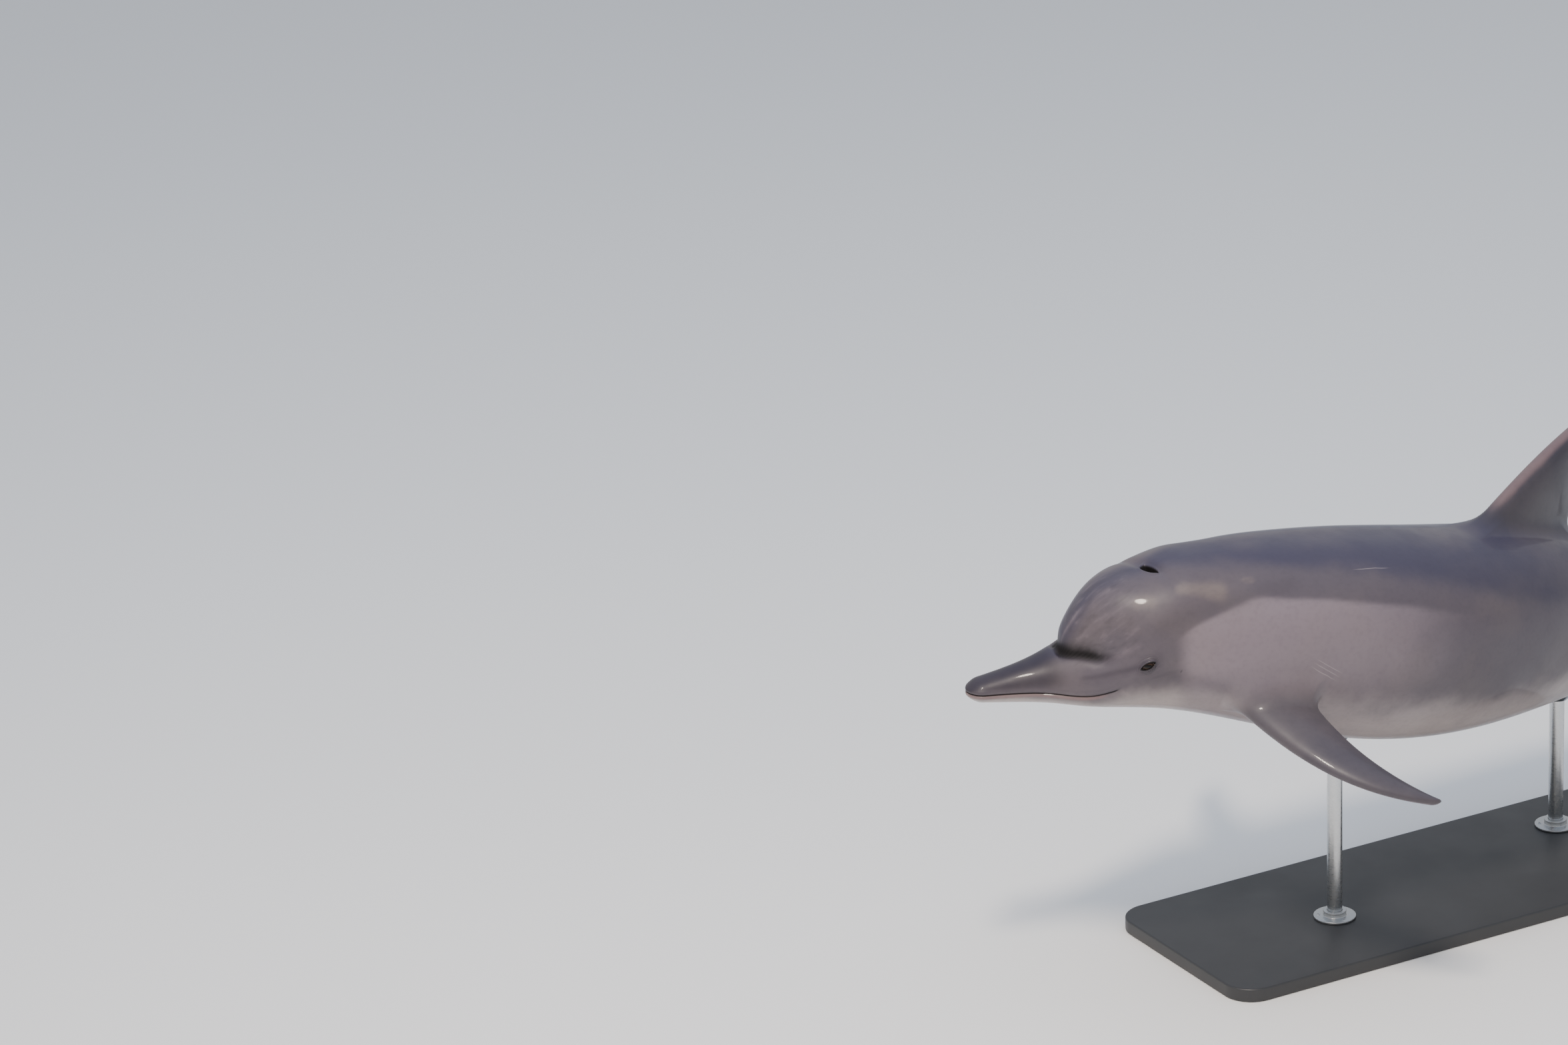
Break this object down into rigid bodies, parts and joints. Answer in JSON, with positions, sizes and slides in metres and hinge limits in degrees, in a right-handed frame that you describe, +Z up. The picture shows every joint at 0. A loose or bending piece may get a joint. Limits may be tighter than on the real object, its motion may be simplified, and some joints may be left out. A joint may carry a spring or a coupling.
{
  "type": "bottlenose dolphin",
  "caption": "Still life-size model of a bottlenose dolphin surfacing in a shallow arch, head turned to its right, on a flat display base with short rods.",
  "frame": {"origin": "middle of the display base's underside", "axes": "+X from the head to the tail along the base, +Y to the animal's right, +Z up"},
  "size_m": [2.3686, 1.1752, 0.9141],
  "materials": {
    "skin": "smooth wet grey skin, darker on the back and pale on the belly",
    "eye": "glossy dark brown eye",
    "stand_base": "satin dark grey lacquer on board",
    "stand_steel": "brushed stainless steel"
  },
  "bodies": {
    "root": {"rostrum": "skin", "lower_jaw": "skin", "head": "skin", "chest": "skin", "trunk": "skin", "loin": "skin", "tail_stock": "skin", "dorsal_fin": "skin", "flipper_left": "skin", "flipper_right": "skin", "fluke_left": "skin", "fluke_right": "skin", "eye_left": "eye", "eye_right": "eye", "stand_base": "stand_base", "stand_rod_front": "stand_steel", "stand_collar_front": "stand_steel", "stand_cup_front": "stand_steel", "stand_rod_rear": "stand_steel", "stand_collar_rear": "stand_steel", "stand_cup_rear": "stand_steel"}
  },
  "joints": []
}
